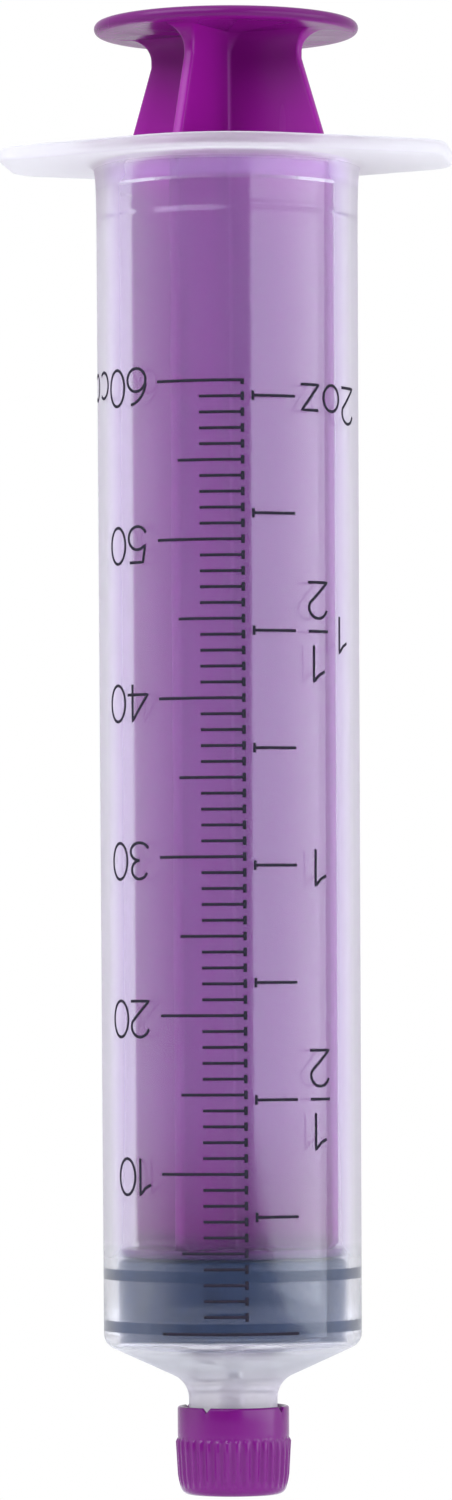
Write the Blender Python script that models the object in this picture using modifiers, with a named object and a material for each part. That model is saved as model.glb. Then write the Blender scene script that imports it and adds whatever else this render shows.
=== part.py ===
"""Oral (enteral) syringe, 60 mL: barrel, piston seal, plunger rod and screw cap.

Metres, +Z up along the axis, with the cap at the bottom and the thumb rest at the top. The origin
is the centre of the cap's flat base. The finger flange's long direction is X.
Run it with blender --background --python part.py, or from Blender's text editor.
"""

import math

import bmesh
import bpy

# Volume and scale: the bore follows from the volume swept between the 0 and 60 mL lines
CAPACITY = 60e-6
SCALE_LENGTH = 0.10807
BORE_RADIUS = math.sqrt(CAPACITY / (math.pi * SCALE_LENGTH))

# Clearance between pieces that touch in the real object
GAP = 0.0003

# Heights above the cap's base
NOZZLE_END = 0.0016
SOCKET_FLOOR = 0.0096
CAP_HEIGHT = 0.0102
SHOULDER_BOTTOM = 0.01296
SHOULDER_TOP = 0.01745
BORE_FLOOR = 0.0180
BEAD_HEIGHT = 0.1475
BORE_ENTRY = 0.1508
FLANGE_BOTTOM = 0.15350
FLANGE_TOP = 0.15515
THUMB_REST_BOTTOM = 0.16845
THUMB_REST_TOP = 0.16987

# Barrel
BARREL_RADIUS_TIP = 0.0149
BARREL_RADIUS_FLANGE = 0.0151
SHOULDER_ROUNDING = 0.0018
NECK_RADIUS = 0.00511
NECK_FILLET = 0.0030
BEAD_RADIUS = 0.0130
BEAD_HALF_HEIGHT = 0.0006
BORE_ENTRY_RADIUS = 0.0136
CHANNEL_RADIUS = 0.0010
SOCKET_RADIUS = 0.0028
NOZZLE_RADIUS = 0.00475
NOZZLE_CHAMFER = 0.0003
THREAD_DEPTH = 0.0006
THREAD_LEAD = 0.0054
THREAD_STARTS = 2
THREAD_TURNS = 1.1

# Finger flange: a round middle, two straight-edged wings and blunt tips
FLANGE_HALF_LENGTH = 0.0260
FLANGE_MIDDLE_RADIUS = 0.0188
FLANGE_TIP_HALF_WIDTH = 0.0046
FLANGE_TIP_ROUNDING = 0.0050
FLANGE_EDGE_BEVEL = 0.0004

# Piston seal, heights measured from its own base
SEAL_BASE = BORE_FLOOR + GAP
SEAL_HEIGHT = 0.0089
SEAL_RING_RADIUS = BORE_RADIUS - GAP
SEAL_BAND_RADIUS = 0.0127
SEAL_NOSE_RADIUS = 0.0120
SEAL_RING_HEIGHT = 0.00115
SEAL_LOWER_RING = 0.00073
SEAL_UPPER_RING = 0.00668
SEAL_POCKET_FLOOR = 0.0025
SEAL_POCKET_TOP = 0.0071
SEAL_POCKET_RADIUS = 0.0095
SEAL_LIP_RADIUS = 0.0070

# Plunger rod, which snaps into the seal with its head
ROD_BASE = SEAL_BASE + SEAL_POCKET_FLOOR + GAP
ROD_HEAD_RADIUS = SEAL_POCKET_RADIUS - GAP
ROD_HEAD_CHAMFER = 0.0014
ROD_HEAD_TOP = SEAL_BASE + SEAL_POCKET_TOP - GAP
ROD_NECK_RADIUS = SEAL_LIP_RADIUS - GAP
ROD_DISC_BOTTOM = SEAL_BASE + SEAL_HEIGHT + GAP
ROD_DISC_THICKNESS = 0.0010
ROD_DISC_RADIUS = 0.0127
ROD_CORE_RADIUS = 0.0010
RIB_RADIUS = 0.01285
RIB_THICKNESS = 0.00125
RIB_WAIST_RADIUS = 0.00959
RIB_WAIST_HEIGHT = 0.1652
RIB_FLARE_HEIGHT = 0.1550
RIB_FILLET = 0.0024
RIB_TURN = math.radians(-21)
THUMB_REST_RADIUS = 0.01526

# Screw cap with a central plug and a ribbed grip
CAP_RADIUS = 0.00644
CAP_BORE_RADIUS = 0.00565
CAP_FLOOR = NOZZLE_END - GAP
CAP_EDGE_ROUNDING = 0.0013
CAP_PLUG_RADIUS = SOCKET_RADIUS - GAP
CAP_PLUG_TOP = SOCKET_FLOOR - 2 * GAP
GRIP_BOTTOM = 0.0013
GRIP_TOP = 0.00655
GRIP_RADIUS_TOP = 0.00664
GRIP_RADIUS_BOTTOM = 0.00632
GRIP_GROOVES = 36
GRIP_GROOVE_DEPTH = 0.0002

# Facets
SEGMENTS = 64
SMALL_SEGMENTS = 48
ARC_STEPS = 4
ARC_DEGREES = 30
THREAD_STEPS_PER_TURN = 24
OVERSHOOT = 0.0010
SHARP_ANGLE = math.radians(35)


def clear_scene():
    """Remove every object, and the collections left from an earlier run."""
    for obj in list(bpy.data.objects):
        bpy.data.objects.remove(obj, do_unlink=True)
    for collection in list(bpy.data.collections):
        bpy.data.collections.remove(collection)


def new_collection(name):
    collection = bpy.data.collections.new(name)
    bpy.context.scene.collection.children.link(collection)
    return collection


def new_material(name, color, roughness, transmission=0.0):
    """A plastic or rubber, with no metallic part."""
    material = bpy.data.materials.new(name)
    material.use_nodes = True
    shader = material.node_tree.nodes["Principled BSDF"]
    shader.inputs["Base Color"].default_value = (*color, 1.0)
    shader.inputs["Roughness"].default_value = roughness
    shader.inputs["Metallic"].default_value = 0.0
    shader.inputs["Transmission Weight"].default_value = transmission
    return material


def arc(centre, radius, start, end):
    """Points of a circular arc in the profile plane, from one angle to another in degrees."""
    steps = max(ARC_STEPS, round(abs(end - start) / ARC_DEGREES))
    points = []
    for i in range(steps + 1):
        angle = math.radians(start + (end - start) * i / steps)
        points.append((centre[0] + radius * math.cos(angle), centre[1] + radius * math.sin(angle)))
    return points


def turned(name, profile, collection, segments=SEGMENTS):
    """A solid of revolution about Z. The profile is (radius, height), and runs down the outer side."""
    mesh = bpy.data.meshes.new(name)
    edges = [(i, i + 1) for i in range(len(profile) - 1)]
    mesh.from_pydata([(radius, 0.0, height) for radius, height in profile], edges, [])
    obj = bpy.data.objects.new(name, mesh)
    collection.objects.link(obj)
    screw = obj.modifiers.new("Turn", "SCREW")
    screw.steps = segments
    screw.render_steps = segments
    screw.use_merge_vertices = True
    screw.merge_threshold = 1e-6
    screw.use_smooth_shade = True
    return obj


def bake(obj):
    """Give an object the mesh that its modifiers make, with its curve caps and doubles welded."""
    bpy.context.view_layer.update()
    evaluated = obj.evaluated_get(bpy.context.evaluated_depsgraph_get())
    mesh = bpy.data.meshes.new_from_object(evaluated)
    welded = bmesh.new()
    welded.from_mesh(mesh)
    bmesh.ops.remove_doubles(welded, verts=welded.verts, dist=1e-7)
    welded.to_mesh(mesh)
    welded.free()
    return mesh


def mesh_from_curve(curve_obj, collection):
    """Turn a curve object into a mesh object in the same place, and remove the curve."""
    mesh = bake(curve_obj)
    obj = bpy.data.objects.new(curve_obj.name + "_mesh", mesh)
    obj.matrix_world = curve_obj.matrix_world
    collection.objects.link(obj)
    bpy.data.objects.remove(curve_obj, do_unlink=True)
    return obj


def flat_outline(name, points, thickness, collection):
    """A plate of the given closed outline in XY, centred on z = 0."""
    curve = bpy.data.curves.new(name, "CURVE")
    curve.dimensions = "2D"
    curve.fill_mode = "BOTH"
    curve.extrude = thickness / 2
    spline = curve.splines.new("POLY")
    spline.points.add(len(points) - 1)
    for point, (x, y) in zip(spline.points, points):
        point.co = (x, y, 0.0, 1.0)
    spline.use_cyclic_u = True
    obj = bpy.data.objects.new(name, curve)
    collection.objects.link(obj)
    return mesh_from_curve(obj, collection)


def as_tool(obj):
    """Mark an object that only cuts or joins another one."""
    obj.hide_render = True
    obj.display_type = "WIRE"


def combine(target, tool, operation):
    """Join a tool to a part, or cut the part with it."""
    as_tool(tool)
    boolean = target.modifiers.new(tool.name, "BOOLEAN")
    boolean.operation = operation
    boolean.solver = "EXACT"
    boolean.object = tool


def finish(obj, material, parent):
    """Bake a part, shade it smooth between its sharp edges, and hang it on the syringe's empty."""
    mesh = bake(obj)
    obj.modifiers.clear()
    obj.data = mesh
    mesh.shade_smooth()
    mesh.set_sharp_from_angle(angle=SHARP_ANGLE)
    mesh.materials.clear()
    mesh.materials.append(material)
    obj.parent = parent


def flange_outline():
    """The flange seen from above, built in one quarter and mirrored twice.

    A wing's straight edge is tangent to the round middle and to the rounding of its tip.
    """
    tip_centre = (FLANGE_HALF_LENGTH - FLANGE_TIP_ROUNDING, FLANGE_TIP_HALF_WIDTH)
    lean = math.acos((FLANGE_MIDDLE_RADIUS - FLANGE_TIP_ROUNDING) / math.hypot(*tip_centre))
    wing_angle = math.degrees(math.atan2(tip_centre[1], tip_centre[0]) + lean)
    middle = arc((0.0, 0.0), FLANGE_MIDDLE_RADIUS, 90, wing_angle)
    quarter = middle + arc(tip_centre, FLANGE_TIP_ROUNDING, wing_angle, 0)
    right = quarter + [(x, -y) for x, y in reversed(quarter)]
    left = [(-x, -y) for x, y in right]
    return right[:-1] + left[:-1]


def make_flange(tools):
    thickness = FLANGE_TOP - FLANGE_BOTTOM
    flange = flat_outline("flange_plate", flange_outline(), thickness, tools)
    flange.location.z = (FLANGE_TOP + FLANGE_BOTTOM) / 2
    bevel = flange.modifiers.new("Edge", "BEVEL")
    bevel.width = FLANGE_EDGE_BEVEL
    bevel.segments = 2
    bevel.limit_method = "ANGLE"
    bevel.angle_limit = math.radians(60)
    return flange


def make_thread(start, tools):
    """One start of the nozzle's outer thread: a round ridge on a helix, fading out at both ends."""
    count = round(THREAD_TURNS * THREAD_STEPS_PER_TURN)
    fade = THREAD_STEPS_PER_TURN // 6
    lowest = NOZZLE_END + 2 * THREAD_DEPTH
    curve = bpy.data.curves.new(f"thread_{start}", "CURVE")
    curve.dimensions = "3D"
    curve.bevel_depth = THREAD_DEPTH
    curve.bevel_resolution = 2
    curve.use_fill_caps = True
    spline = curve.splines.new("POLY")
    spline.points.add(count)
    for i, point in enumerate(spline.points):
        turns = i / THREAD_STEPS_PER_TURN
        angle = 2 * math.pi * (turns + start / THREAD_STARTS)
        x = NOZZLE_RADIUS * math.cos(angle)
        y = NOZZLE_RADIUS * math.sin(angle)
        point.co = (x, y, lowest + THREAD_LEAD * turns, 1.0)
        point.radius = min(1.0, 0.4 + 0.6 * min(i, count - i) / fade)
    obj = bpy.data.objects.new(curve.name, curve)
    tools.objects.link(obj)
    return mesh_from_curve(obj, tools)


def barrel_outside():
    """Outer profile of tube, shoulder, neck and nozzle, closed on the axis at both ends."""
    slope = math.degrees(
        math.atan2(SHOULDER_TOP - SHOULDER_BOTTOM, BARREL_RADIUS_TIP - NECK_RADIUS)
    )
    corner_drop = SHOULDER_ROUNDING * math.tan(math.radians(90 - slope) / 2)
    corner = (BARREL_RADIUS_TIP - SHOULDER_ROUNDING, SHOULDER_TOP + corner_drop)
    fillet_drop = NECK_FILLET * math.tan(math.radians(90 - slope) / 2)
    fillet = (NECK_RADIUS + NECK_FILLET, SHOULDER_BOTTOM - fillet_drop)
    return [
        (0.0, (FLANGE_TOP + FLANGE_BOTTOM) / 2),
        (BARREL_RADIUS_FLANGE, (FLANGE_TOP + FLANGE_BOTTOM) / 2),
        (BARREL_RADIUS_FLANGE, FLANGE_BOTTOM),
        *arc(corner, SHOULDER_ROUNDING, 0, slope - 90),
        *arc(fillet, NECK_FILLET, slope + 90, 180),
        (NECK_RADIUS, CAP_HEIGHT - GAP),
        (NOZZLE_RADIUS, CAP_HEIGHT - 3 * GAP),
        (NOZZLE_RADIUS, NOZZLE_END + NOZZLE_CHAMFER),
        (NOZZLE_RADIUS - NOZZLE_CHAMFER, NOZZLE_END),
        (0.0, NOZZLE_END),
    ]


def barrel_inside():
    """The bore, its retaining bead and wider entry, the fluid channel and the socket in the nozzle."""
    return [
        (0.0, FLANGE_TOP + OVERSHOOT),
        (BORE_ENTRY_RADIUS + OVERSHOOT, FLANGE_TOP + OVERSHOOT),
        (BORE_ENTRY_RADIUS, FLANGE_TOP - GAP),
        (BORE_ENTRY_RADIUS, BORE_ENTRY),
        (BORE_RADIUS, BORE_ENTRY - GAP),
        (BORE_RADIUS, BEAD_HEIGHT + BEAD_HALF_HEIGHT),
        (BEAD_RADIUS, BEAD_HEIGHT + BEAD_HALF_HEIGHT / 3),
        (BEAD_RADIUS, BEAD_HEIGHT - BEAD_HALF_HEIGHT / 3),
        (BORE_RADIUS, BEAD_HEIGHT - BEAD_HALF_HEIGHT),
        (BORE_RADIUS, BORE_FLOOR),
        (CHANNEL_RADIUS, BORE_FLOOR),
        (CHANNEL_RADIUS, SOCKET_FLOOR),
        (SOCKET_RADIUS, SOCKET_FLOOR),
        (SOCKET_RADIUS, NOZZLE_END - OVERSHOOT),
        (0.0, NOZZLE_END - OVERSHOOT),
    ]


def make_barrel(parts, tools):
    barrel = turned("barrel", barrel_outside(), parts)
    combine(barrel, make_flange(tools), "UNION")
    for start in range(THREAD_STARTS):
        combine(barrel, make_thread(start, tools), "UNION")
    combine(barrel, turned("bore_cutter", barrel_inside(), tools), "DIFFERENCE")
    return barrel


def make_seal(parts):
    """A cup with two sealing rings outside and an undercut pocket inside for the rod's head."""
    profile = [
        (0.0, SEAL_POCKET_FLOOR),
        (SEAL_POCKET_RADIUS, SEAL_POCKET_FLOOR),
        (SEAL_POCKET_RADIUS, SEAL_POCKET_TOP),
        (SEAL_LIP_RADIUS, SEAL_POCKET_TOP),
        (SEAL_LIP_RADIUS, SEAL_HEIGHT),
        (SEAL_BAND_RADIUS - GAP, SEAL_HEIGHT),
        (SEAL_BAND_RADIUS, SEAL_HEIGHT - GAP),
    ]
    for ring in (SEAL_UPPER_RING, SEAL_LOWER_RING):
        top = ring + SEAL_RING_HEIGHT
        profile += [
            (SEAL_BAND_RADIUS, top),
            (SEAL_RING_RADIUS, top - GAP),
            (SEAL_RING_RADIUS, ring + GAP),
            (SEAL_BAND_RADIUS, ring),
        ]
    profile += [(SEAL_NOSE_RADIUS, 0.0), (0.0, 0.0)]
    seal = turned("piston_seal", profile, parts)
    seal.location.z = SEAL_BASE
    return seal


def rib_outline():
    """A rib plate across the rod, as (across, height above the rod's base), right side and mirror."""
    fillet = (RIB_WAIST_RADIUS + RIB_FILLET, THUMB_REST_BOTTOM - RIB_FILLET)
    right = [
        (RIB_RADIUS, ROD_DISC_BOTTOM + ROD_DISC_THICKNESS / 2),
        (RIB_RADIUS, RIB_FLARE_HEIGHT),
        (RIB_WAIST_RADIUS, RIB_WAIST_HEIGHT),
        *arc(fillet, RIB_FILLET, 180, 90),
        (RIB_WAIST_RADIUS + RIB_FILLET, (THUMB_REST_BOTTOM + THUMB_REST_TOP) / 2),
    ]
    outline = right + [(-x, z) for x, z in reversed(right)]
    return [(x, z - ROD_BASE) for x, z in outline]


def make_rib(index, tools):
    """One of the two plates that cross to make the rod's four ribs."""
    rib = flat_outline(f"rib_{index}", rib_outline(), RIB_THICKNESS, tools)
    rib.rotation_euler = (math.pi / 2, 0.0, index * math.pi / 2 + RIB_TURN)
    rib.location.z = ROD_BASE
    return rib


def make_rod(parts, tools):
    """Head, neck, disc, core and thumb rest are turned in one, and two crossed plates join them."""
    rest_rounding = (THUMB_REST_TOP - THUMB_REST_BOTTOM) / 2
    rest_edge = (THUMB_REST_RADIUS - rest_rounding, THUMB_REST_TOP - rest_rounding)
    disc_top = ROD_DISC_BOTTOM + ROD_DISC_THICKNESS
    profile = [
        (0.0, THUMB_REST_TOP),
        *arc(rest_edge, rest_rounding, 90, -90),
        (ROD_CORE_RADIUS, THUMB_REST_BOTTOM),
        (ROD_CORE_RADIUS, disc_top),
        (ROD_DISC_RADIUS, disc_top),
        (ROD_DISC_RADIUS, ROD_DISC_BOTTOM),
        (ROD_NECK_RADIUS, ROD_DISC_BOTTOM),
        (ROD_NECK_RADIUS, ROD_HEAD_TOP),
        (ROD_HEAD_RADIUS, ROD_HEAD_TOP),
        (ROD_HEAD_RADIUS, ROD_BASE + ROD_HEAD_CHAMFER),
        (ROD_HEAD_RADIUS - ROD_HEAD_CHAMFER, ROD_BASE),
        (0.0, ROD_BASE),
    ]
    rod = turned("plunger_rod", [(r, z - ROD_BASE) for r, z in profile], parts)
    rod.location.z = ROD_BASE
    for index in range(2):
        combine(rod, make_rib(index, tools), "UNION")
    return rod


def make_groove_cutter(tools):
    """A ring of small prisms that cut the grooves between the grip's ribs, leaning with its taper."""
    cutter = bmesh.new()
    height = GRIP_TOP - GRIP_BOTTOM
    width = 2 * math.pi * GRIP_RADIUS_TOP / GRIP_GROOVES / 2
    for i in range(GRIP_GROOVES):
        prism = bmesh.ops.create_cone(
            cutter, cap_ends=True, segments=6, radius1=width / 2, radius2=width / 2, depth=height
        )
        angle = 2 * math.pi * i / GRIP_GROOVES
        for vert in prism["verts"]:
            share = vert.co.z / height + 0.5
            surface = GRIP_RADIUS_BOTTOM + share * (GRIP_RADIUS_TOP - GRIP_RADIUS_BOTTOM)
            out = vert.co.x + surface + width / 2 - GRIP_GROOVE_DEPTH
            side = vert.co.y
            vert.co.x = out * math.cos(angle) - side * math.sin(angle)
            vert.co.y = out * math.sin(angle) + side * math.cos(angle)
            vert.co.z += GRIP_BOTTOM + height / 2
    mesh = bpy.data.meshes.new("grip_grooves")
    cutter.to_mesh(mesh)
    cutter.free()
    obj = bpy.data.objects.new("grip_grooves", mesh)
    tools.objects.link(obj)
    return obj


def make_cap(parts, tools):
    """A cup whose plug fills the nozzle's socket, with a smooth band above the ribbed grip."""
    edge = (GRIP_RADIUS_BOTTOM - CAP_EDGE_ROUNDING, CAP_EDGE_ROUNDING)
    profile = [
        (0.0, CAP_PLUG_TOP),
        (CAP_PLUG_RADIUS - GAP, CAP_PLUG_TOP),
        (CAP_PLUG_RADIUS, CAP_PLUG_TOP - GAP),
        (CAP_PLUG_RADIUS, CAP_FLOOR),
        (CAP_BORE_RADIUS, CAP_FLOOR),
        (CAP_BORE_RADIUS, CAP_HEIGHT),
        (CAP_RADIUS - GAP, CAP_HEIGHT),
        (CAP_RADIUS, CAP_HEIGHT - GAP),
        (CAP_RADIUS, GRIP_TOP + GRIP_GROOVE_DEPTH),
        (GRIP_RADIUS_TOP, GRIP_TOP),
        *arc(edge, CAP_EDGE_ROUNDING, 0, -90),
        (0.0, 0.0),
    ]
    cap = turned("tip_cap", profile, parts, SMALL_SEGMENTS)
    combine(cap, make_groove_cutter(tools), "DIFFERENCE")
    return cap


def build():
    clear_scene()
    parts = new_collection("oral_syringe")
    tools = new_collection("cutters")
    axis = bpy.data.objects.new("syringe_axis", None)
    parts.objects.link(axis)
    frosted = new_material("frosted_polypropylene", (0.80, 0.79, 0.86), 0.35, transmission=0.8)
    purple = new_material("purple_polypropylene", (0.22, 0.02, 0.24), 0.30)
    rubber = new_material("seal_rubber", (0.05, 0.06, 0.08), 0.55)
    purple_cap = new_material("purple_cap_polypropylene", (0.25, 0.03, 0.28), 0.35, transmission=0.2)
    finish(make_barrel(parts, tools), frosted, axis)
    finish(make_seal(parts), rubber, axis)
    finish(make_rod(parts, tools), purple, axis)
    finish(make_cap(parts, tools), purple_cap, axis)


build()
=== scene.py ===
"""The looks of a 60 mL oral (enteral) syringe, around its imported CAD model. Metres, +Z up."""

import math

import bmesh
import bpy
import numpy as np
from mathutils import Euler, Matrix, Vector


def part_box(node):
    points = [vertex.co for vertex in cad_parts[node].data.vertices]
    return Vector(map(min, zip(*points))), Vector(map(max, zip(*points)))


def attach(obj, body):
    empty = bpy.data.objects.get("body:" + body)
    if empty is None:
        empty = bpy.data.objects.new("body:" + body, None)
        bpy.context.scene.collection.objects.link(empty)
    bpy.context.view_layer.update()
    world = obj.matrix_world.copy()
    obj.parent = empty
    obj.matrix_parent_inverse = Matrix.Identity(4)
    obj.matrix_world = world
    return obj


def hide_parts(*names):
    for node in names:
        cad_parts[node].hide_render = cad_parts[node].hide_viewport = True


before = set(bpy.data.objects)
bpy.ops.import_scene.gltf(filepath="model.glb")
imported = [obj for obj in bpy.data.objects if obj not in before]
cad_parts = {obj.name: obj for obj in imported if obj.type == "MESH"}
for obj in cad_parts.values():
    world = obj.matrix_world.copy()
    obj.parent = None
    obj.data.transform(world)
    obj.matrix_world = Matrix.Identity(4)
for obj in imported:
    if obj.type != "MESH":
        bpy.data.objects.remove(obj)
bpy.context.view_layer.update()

MM = 0.001
ROUND = 256
SHARP_ANGLE = math.radians(40)

# ---------------------------------------------------------------- places, read from the frame
BARREL_LOW, BARREL_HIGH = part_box("barrel")
SEAL_LOW, SEAL_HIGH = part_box("piston_seal")
ROD_LOW, ROD_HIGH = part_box("plunger_rod")
CAP_LOW, CAP_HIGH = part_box("tip_cap")

# Barrel, as in the CAD model
FLANGE_TOP = BARREL_HIGH.z
FLANGE_THICKNESS = 1.65 * MM
FLANGE_BOTTOM = FLANGE_TOP - FLANGE_THICKNESS
FLANGE_HALF_LENGTH = BARREL_HIGH.x
FLANGE_MIDDLE_RADIUS = BARREL_HIGH.y
FLANGE_TIP_HALF_WIDTH = 4.6 * MM
FLANGE_TIP_ROUNDING = 5.0 * MM
FLANGE_FILLET = 1.0 * MM
SCALE_LENGTH = 108.07 * MM
CAPACITY_ML = 60
BORE_RADIUS = math.sqrt(CAPACITY_ML * 1e-6 / (math.pi * SCALE_LENGTH))
TIP_RADIUS = 14.9 * MM
TOP_RADIUS = 15.1 * MM
FLARE = 0.2 * MM
FLARE_LENGTH = 7.0 * MM
NECK_RADIUS = 5.11 * MM
BORE_FLOOR = SEAL_LOW.z - 0.3 * MM
SHOULDER_TOP = BORE_FLOOR - 0.55 * MM
SHOULDER_BOTTOM = CAP_HIGH.z + 2.76 * MM
SHOULDER_ROUNDING = 1.8 * MM
NECK_FILLET = 3.0 * MM
ZERO_LINE = BORE_FLOOR + 1.27 * MM
BEAD_HEIGHT = 147.5 * MM
BEAD_HALF_HEIGHT = 0.75 * MM
BEAD_DEPTH = 0.12 * MM
BORE_ENTRY = 150.8 * MM
BORE_ENTRY_RADIUS = 13.6 * MM

# Nozzle
NOZZLE_END = BARREL_LOW.z
NOZZLE_RADIUS = 4.75 * MM
NOZZLE_ROUNDING = 0.35 * MM
SOCKET_FLOOR = NOZZLE_END + 8.0 * MM
SOCKET_RADIUS = 2.8 * MM
CHANNEL_RADIUS = 1.0 * MM
THREAD_CREST = 5.35 * MM
THREAD_LEAD = 5.4 * MM
THREAD_STARTS = 2

# Half the width of the thread's ridge, as a share of the distance from ridge to ridge
THREAD_HALF_WIDTH = 0.24

# Directions round the axis: to the camera, to the print's spine, and of the rod's first rib
VIEW_ANGLE = math.radians(-84)
SPINE_ANGLE = VIEW_ANGLE + math.radians(6.2)
RIB_TURN = math.radians(-21)


# ---------------------------------------------------------------- mesh helpers
def circle(radius, height, count=ROUND):
    """A level ring of points. radius is a number, or one number for each point."""
    angles = np.arange(count) * 2 * math.pi / count
    radii = np.broadcast_to(radius, (count,))
    return np.stack([radii * np.cos(angles), radii * np.sin(angles), np.full(count, height)], 1)


def turned(profile, count=ROUND):
    """Level rings through the (radius, height) points of a profile."""
    return [circle(radius, height, count) for radius, height in profile]


def arc(centre, radius, start, end, steps):
    """Points (across, height) of an arc in a profile plane, between two angles in degrees."""
    angles = np.radians(np.linspace(start, end, steps + 1))
    return [(centre[0] + radius * math.cos(a), centre[1] + radius * math.sin(a)) for a in angles]


def smooth(share):
    """Ease a share from 0 to 1 in and out."""
    return share * share * (3 - 2 * share)


def new_object(name, bm):
    """An object of this bmesh, shaded smooth except across sharp edges."""
    bmesh.ops.recalc_face_normals(bm, faces=bm.faces)
    mesh = bpy.data.meshes.new(name)
    bm.to_mesh(mesh)
    bm.free()
    mesh.shade_smooth()
    mesh.set_sharp_from_angle(angle=SHARP_ANGLE)
    obj = bpy.data.objects.new(name, mesh)
    bpy.context.scene.collection.objects.link(obj)
    return obj


def skin(name, rings, loop=False):
    """A closed solid through rings of equally many points. A loop joins the last ring to the first,
    and otherwise both ends close on a point at their ring's middle."""
    bm = bmesh.new()
    rows = [[bm.verts.new(p) for p in ring] for ring in rings]
    count = len(rows[0])
    pairs = list(zip(rows, rows[1:])) + ([(rows[-1], rows[0])] if loop else [])
    for low, high in pairs:
        for i in range(count):
            j = (i + 1) % count
            bm.faces.new((low[i], low[j], high[j], high[i]))
    if not loop:
        for row in (rows[0], rows[-1]):
            middle = bm.verts.new(sum((v.co for v in row), Vector()) / count)
            for i in range(count):
                bm.faces.new((row[i], row[(i + 1) % count], middle))
    return new_object(name, bm)


def show(obj, body, node, material):
    """Hang a finished piece on its body, in place of a CAD node if one is named."""
    obj.data.materials.append(material)
    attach(obj, body)
    if node:
        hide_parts(node)
    return obj


# ---------------------------------------------------------------- material helpers
PLASTIC_IOR = 1.49

# Sockets of a Mix node that mixes colours
COLOR_A, COLOR_B, COLOR_OUT = 6, 7, 2


class Nodes:
    """A small helper that adds nodes to a new material and joins them."""

    def __init__(self, name):
        self.material = bpy.data.materials.new(name)
        self.material.use_nodes = True
        self.tree = self.material.node_tree
        self.shader = self.tree.nodes["Principled BSDF"]
        self.output = self.tree.nodes["Material Output"]

    def add(self, kind, links=None, **settings):
        """A new node. links join its inputs to other nodes, and settings fill in the rest."""
        node = self.tree.nodes.new(kind)
        for key, value in settings.items():
            if hasattr(node, key):
                setattr(node, key, value)
            else:
                node.inputs[key.replace("_", " ")].default_value = value
        for key, source in (links or {}).items():
            self.tree.links.new(source, node.inputs[key])
        return node

    def set(self, **values):
        """Fill in plain values of the main shader."""
        for key, value in values.items():
            self.shader.inputs[key.replace("_", " ")].default_value = value

    def link(self, source, socket):
        """Join another node to the main shader."""
        self.tree.links.new(source, self.shader.inputs[socket])

    def cover(self, share, shader):
        """Lay another shader over the main one, by a share from 0 to 1."""
        layers = {0: share, 1: self.shader.outputs[0], 2: shader.outputs[0]}
        mix = self.add("ShaderNodeMixShader", layers)
        self.tree.links.new(mix.outputs[0], self.output.inputs["Surface"])

    def noise(self, scale, detail, stretch=(1, 1, 1)):
        """A cloudy pattern that is fixed to the piece."""
        place = self.add("ShaderNodeTexCoord")
        mapping = self.add("ShaderNodeMapping", {"Vector": place.outputs["Object"]})
        mapping.inputs["Scale"].default_value = stretch
        links = {"Vector": mapping.outputs["Vector"]}
        return self.add("ShaderNodeTexNoise", links, Scale=scale, Detail=detail).outputs["Fac"]

    def spread(self, source, low, high, start=0.35, end=0.65):
        """Map values from start to end onto a range from low to high. Noise mostly fills 0.35 to 0.65."""
        span = self.add("ShaderNodeMapRange", {"Value": source})
        span.inputs["From Min"].default_value = start
        span.inputs["From Max"].default_value = end
        span.inputs["To Min"].default_value = low
        span.inputs["To Max"].default_value = high
        return span.outputs["Result"]

    def math(self, operation, first, second):
        """One calculation with node outputs or numbers."""
        node = self.add("ShaderNodeMath", operation=operation)
        for socket, value in zip(node.inputs, (first, second)):
            if isinstance(value, float):
                socket.default_value = value
            else:
                self.tree.links.new(value, socket)
        return node.outputs[0]

    def total(self, base, zones, shares):
        """A base value plus a share of each named zone."""
        for name, share in shares.items():
            base = self.math("ADD", base, self.math("MULTIPLY", zones[name], share))
        return base

    def above(self, height, blur):
        """0 below a height of the piece and 1 above it."""
        place = self.add("ShaderNodeTexCoord")
        split = self.add("ShaderNodeSeparateXYZ", {"Vector": place.outputs["Object"]})
        return self.spread(split.outputs["Z"], 0, 1, height - blur, height + blur)

    def below(self, height, blur):
        """1 below a height of the piece and 0 above it."""
        return self.math("SUBTRACT", 1.0, self.above(height, blur))

    def tint(self, source, dark, light, under=None):
        """A mix of two colours. The first one may come from another node, as under."""
        mix = self.add("ShaderNodeMix", {"Factor": source}, data_type="RGBA")
        if under:
            self.tree.links.new(under, mix.inputs[COLOR_A])
        else:
            mix.inputs[COLOR_A].default_value = (*dark, 1)
        mix.inputs[COLOR_B].default_value = (*light, 1)
        return mix.outputs[COLOR_OUT]

    def bump(self, source, strength, distance):
        """Make the main shader's surface uneven."""
        node = self.add("ShaderNodeBump", {"Height": source}, Strength=strength, Distance=distance)
        self.link(node.outputs["Normal"], "Normal")


# ---------------------------------------------------------------- barrel's plastic
CLEAR_TINTS = (0.925, 0.91, 0.94), (0.945, 0.93, 0.955)

# Colours of the haze in the plastic, and of the light that the haze lets through. The lavender above the
# seal is painted light, bounced off the purple rod
HAZE_BESIDE_SEAL = (0.30, 0.48, 1.0)
HAZE_AND_ROD_LIGHT_IN_TUBE = (0.72, 0.47, 1.0)
HAZE_WHERE_PALE = (0.83, 0.82, 0.82)
HAZE_IN_CONE = (0.96, 0.96, 1.0)
# Painted light: the neck's haze is tinted pink, standing in for purple light from the cap
HAZE_AND_CAP_LIGHT_IN_NECK = (0.94, 0.85, 0.98)
GLOW_IN_TUBE = (0.92, 0.84, 1.0)
GLOW_WHERE_PALE = (0.84, 0.83, 0.84)

# What each zone adds to the haze and to the roughness
# Painted light: the tube's share thickens the haze above the seal, and upper_sheen lays a sheen only above
# the seal
HAZE_SHARES = {
    "tube": 0.08, "cone": 0.48, "collar": 0.13, "flange": 0.08, "sheen": 0.20, "upper_sheen": 0.40
}
ROUGHNESS_SHARES = {"cone": 0.06, "collar": 0.09, "flange": 0.22}


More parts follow.
